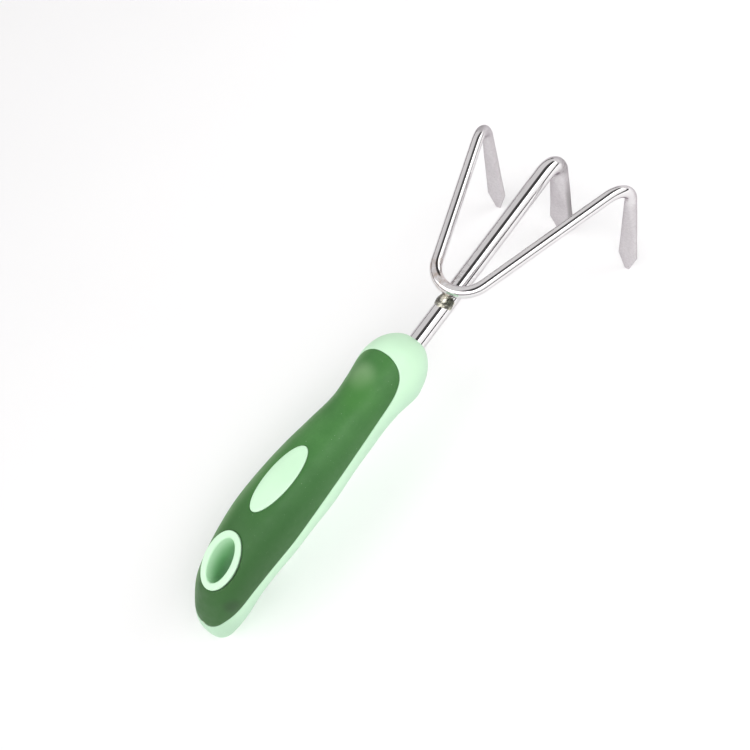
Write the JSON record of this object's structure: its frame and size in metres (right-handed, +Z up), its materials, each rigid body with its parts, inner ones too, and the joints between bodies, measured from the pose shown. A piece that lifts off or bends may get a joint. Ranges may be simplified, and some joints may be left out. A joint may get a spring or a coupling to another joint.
{
  "type": "hand cultivator",
  "caption": "Hand cultivator with bent steel prongs welded on a tube shank, in a two-colour moulded handle with a soft grip and an oval hang hole.",
  "frame": {"origin": "centre of the overall box in plan, at the level of the blade tips and the tail's underside, on which the tool lies", "axes": "+X runs from the handle towards the prongs, +Y is to the left, +Z is up, away from the surface that the tool lies on"},
  "size_m": [0.251, 0.0842, 0.065],
  "materials": {
    "hard_plastic": "smooth semi-matte moulded plastic, pale mint green",
    "soft_plastic": "satin soft-touch elastomer, dark leaf green",
    "tube_steel": "polished stainless tube, satin on the flattened blade",
    "rod_steel": "polished stainless rod, satin on the flattened blades",
    "weld_metal": "uneven weld metal, dull with bright spots"
  },
  "bodies": {
    "root": {"handle_core": "hard_plastic", "soft_grip": "soft_plastic", "shank_tine": "tube_steel", "side_tine_rod": "rod_steel", "weld_bead": "weld_metal"}
  },
  "joints": []
}
